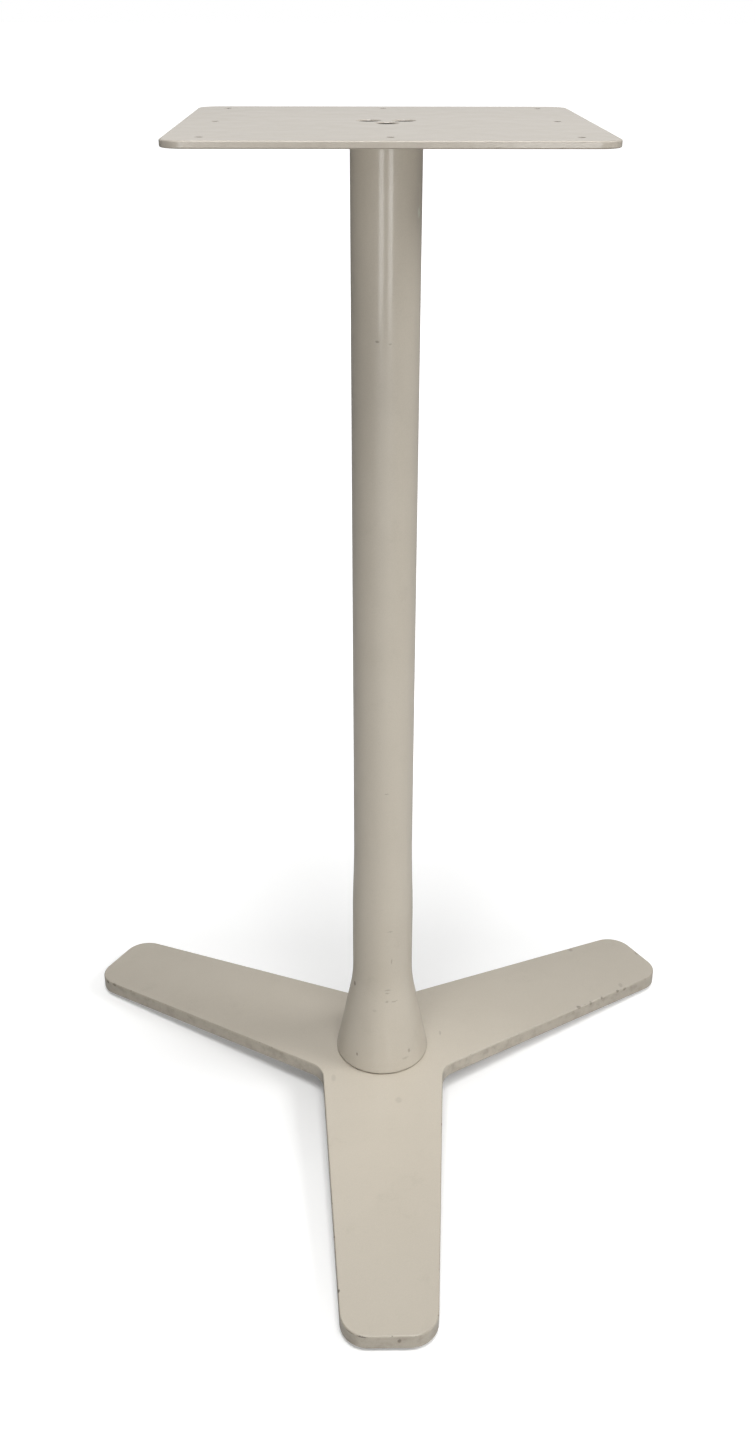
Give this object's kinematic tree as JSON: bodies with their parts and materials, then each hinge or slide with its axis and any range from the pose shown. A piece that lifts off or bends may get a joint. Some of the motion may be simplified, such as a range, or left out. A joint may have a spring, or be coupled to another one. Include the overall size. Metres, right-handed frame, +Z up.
{
  "type": "pedestal table base",
  "caption": "Freestanding pedestal base: square mounting plate on a round column with a flared lower end, standing on a flat star-shaped foot with levelling glides.",
  "frame": {"origin": "on the floor, in the middle of the footprint box; the column axis stands at y = +0.08514", "axes": "+Z up along the column, -Y towards the arm that points to the front, +X to the right seen from the front"},
  "size_m": [0.7296, 0.6398, 1.075],
  "materials": {
    "powder_coat": "satin light grey-beige powder coat on steel, slightly worn",
    "plain_steel": "turned bare steel, hidden inside the column",
    "black_steel": "black-oxide screw steel",
    "zinc_steel": "zinc-plated screw steel",
    "nylon": "dark moulded plastic",
    "felt": "dark pressed felt"
  },
  "bodies": {
    "stand": {"top_plate": "powder_coat", "head_screw_front": "black_steel", "head_screw_right": "black_steel", "head_screw_left": "black_steel", "head_plug": "plain_steel", "column_tube": "powder_coat", "column_cone": "powder_coat", "base_disc": "plain_steel", "foot": "powder_coat", "base_screw_front": "zinc_steel", "base_screw_right": "zinc_steel", "base_screw_left": "zinc_steel", "lock_washer_front": "zinc_steel", "lock_washer_right": "zinc_steel", "lock_washer_left": "zinc_steel", "plain_washer_front": "zinc_steel", "plain_washer_right": "zinc_steel", "plain_washer_left": "zinc_steel"},
    "pad_front": {"glide_cup_front": "nylon", "glide_sole_front": "felt"},
    "stud_front": {"glide_stud_front": "zinc_steel"},
    "pad_right": {"glide_cup_right": "nylon", "glide_sole_right": "felt"},
    "stud_right": {"glide_stud_right": "zinc_steel"},
    "pad_left": {"glide_cup_left": "nylon", "glide_sole_left": "felt"},
    "stud_left": {"glide_stud_left": "zinc_steel"}
  },
  "joints": [
    {"name": "pad_slide_front", "type": "slide", "parent": "stand", "child": "pad_front", "axis": [0, 0, -1], "range_m": [0, 0.005]},
    {"name": "stud_turn_front", "type": "hinge", "parent": "pad_front", "child": "stud_front", "pos_m": [0, -0.27486, 0.012], "axis": [0, 0, -1], "range_deg": [0, 1440]},
    {"name": "pad_slide_right", "type": "slide", "parent": "stand", "child": "pad_right", "axis": [0, 0, -1], "range_m": [0, 0.005]},
    {"name": "stud_turn_right", "type": "hinge", "parent": "pad_right", "child": "stud_right", "pos_m": [0.31177, 0.26514, 0.012], "axis": [0, 0, -1], "range_deg": [0, 1440]},
    {"name": "pad_slide_left", "type": "slide", "parent": "stand", "child": "pad_left", "axis": [0, 0, -1], "range_m": [0, 0.005]},
    {"name": "stud_turn_left", "type": "hinge", "parent": "pad_left", "child": "stud_left", "pos_m": [-0.31177, 0.26514, 0.012], "axis": [0, 0, -1], "range_deg": [0, 1440]}
  ],
  "couplings": [
    {"joint": "pad_slide_front", "follows": "stud_turn_front", "m_per_rad": 0.00019894},
    {"joint": "pad_slide_right", "follows": "stud_turn_right", "m_per_rad": 0.00019894},
    {"joint": "pad_slide_left", "follows": "stud_turn_left", "m_per_rad": 0.00019894}
  ]
}
